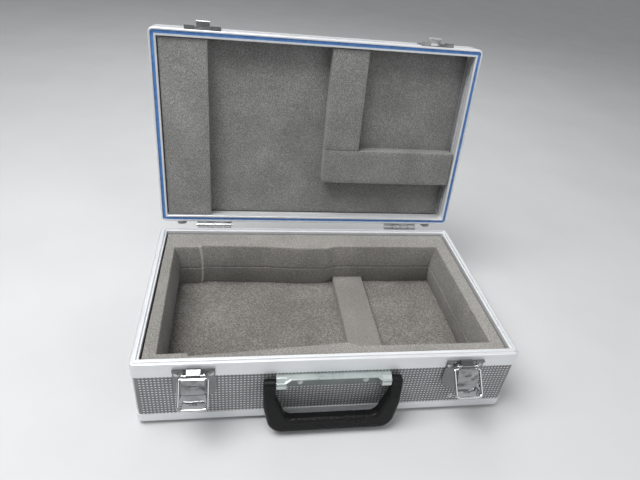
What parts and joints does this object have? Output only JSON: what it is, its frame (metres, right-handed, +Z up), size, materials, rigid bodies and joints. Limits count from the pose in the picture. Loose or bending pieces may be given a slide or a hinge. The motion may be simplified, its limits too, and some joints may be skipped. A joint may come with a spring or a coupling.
{
  "type": "attache case",
  "caption": "Small aluminium-framed attache case with foam-lined base and lid, draw latches, drop handle and hinged lid, standing open.",
  "frame": {"origin": "on the resting surface, under the centre of the open case's bounding box; the middle of the base is 15.5 mm in front of it", "axes": "+Z up, +X to the right of someone facing the latches, +Y towards the hinges; the lid is stored open by 96.3 degrees"},
  "size_m": [0.38, 0.3186, 0.3246],
  "materials": {
    "frame": "satin anodised extrusion, rounded outer edges",
    "board": "thin board faced with dimpled silver-grey sheet, plain light grey inside",
    "foam": "open-cell grey foam, hand cut",
    "seal": "blue soft strip",
    "foot": "light grey moulded",
    "steel": "zinc plated",
    "latch": "bright plated pressing",
    "hinge": "bright plated",
    "bracket": "die-cast, satin, slightly green-grey",
    "grip": "black with a leather-like grain"
  },
  "bodies": {
    "base": {"base_back_board": "board", "base_back_feet": "foot", "base_back_foot_screws": "steel", "base_bottom_board": "board", "base_feet": "foot", "base_foam_divider": "foam", "base_foam_floor": "foam", "base_foam_lower_surround": "foam", "base_foam_upper_surround": "foam", "base_foot_screws": "steel", "base_front_board": "board", "base_left_board": "board", "base_lower_long_rails": "frame", "base_lower_side_rails": "frame", "base_right_board": "board", "base_rim_long_rails": "frame", "base_rim_side_rails": "frame", "front_stud": "steel", "handle_bracket": "bracket", "handle_bracket_rivets": "steel", "handle_pins": "steel", "hinge_base_leaf_left": "hinge", "hinge_base_leaf_right": "hinge", "hinge_base_rivets": "steel", "hinge_pins": "steel", "latch_pin_left": "steel", "latch_pin_right": "steel", "latch_plate_left": "latch", "latch_plate_right": "latch", "latch_plate_rivets": "steel"},
    "lid": {"hinge_lid_leaf_left": "hinge", "hinge_lid_leaf_right": "hinge", "hinge_lid_rivets": "steel", "keeper_left": "latch", "keeper_right": "latch", "keeper_rivets": "steel", "lid_back_board": "board", "lid_back_feet": "foot", "lid_back_foot_screws": "steel", "lid_crown_long_rails": "frame", "lid_crown_side_rails": "frame", "lid_foam_column": "foam", "lid_foam_crossbar": "foam", "lid_foam_sheet": "foam", "lid_foam_upright": "foam", "lid_front_board": "board", "lid_left_board": "board", "lid_right_board": "board", "lid_rim_long_rails": "frame", "lid_rim_side_rails": "frame", "lid_seal": "seal", "lid_top_board": "board"},
    "lever_left": {"latch_lever_left": "latch"},
    "lever_right": {"latch_lever_right": "latch"},
    "bail_left": {"latch_bail_left": "latch"},
    "bail_right": {"latch_bail_right": "latch"},
    "handle": {"handle_grip": "grip"}
  },
  "joints": [
    {"name": "lid_hinge", "type": "hinge", "parent": "base", "child": "lid", "pos_m": [0, 0.1035, 0.0859], "axis": [1, 0, 0], "range_deg": [0, 96.3]},
    {"name": "lever_left_pivot", "type": "hinge", "parent": "base", "child": "lever_left", "pos_m": [-0.1327, -0.1357, 0.0763], "axis": [1, 0, 0], "range_deg": [-89, 23]},
    {"name": "bail_left_pivot", "type": "hinge", "parent": "lever_left", "child": "bail_left", "pos_m": [-0.1327, -0.13691, 0.07345], "axis": [-1, 0, 0], "range_deg": [0, 157.6]},
    {"name": "lever_right_pivot", "type": "hinge", "parent": "base", "child": "lever_right", "pos_m": [0.1327, -0.1357, 0.0763], "axis": [1, 0, 0], "range_deg": [-89, 23]},
    {"name": "bail_right_pivot", "type": "hinge", "parent": "lever_right", "child": "bail_right", "pos_m": [0.1327, -0.13691, 0.07345], "axis": [-1, 0, 0], "range_deg": [0, 157.6]},
    {"name": "handle_pivot", "type": "hinge", "parent": "base", "child": "handle", "pos_m": [0, -0.1345, 0.0595], "axis": [-1, 0, 0], "range_deg": [0, 100]}
  ]
}
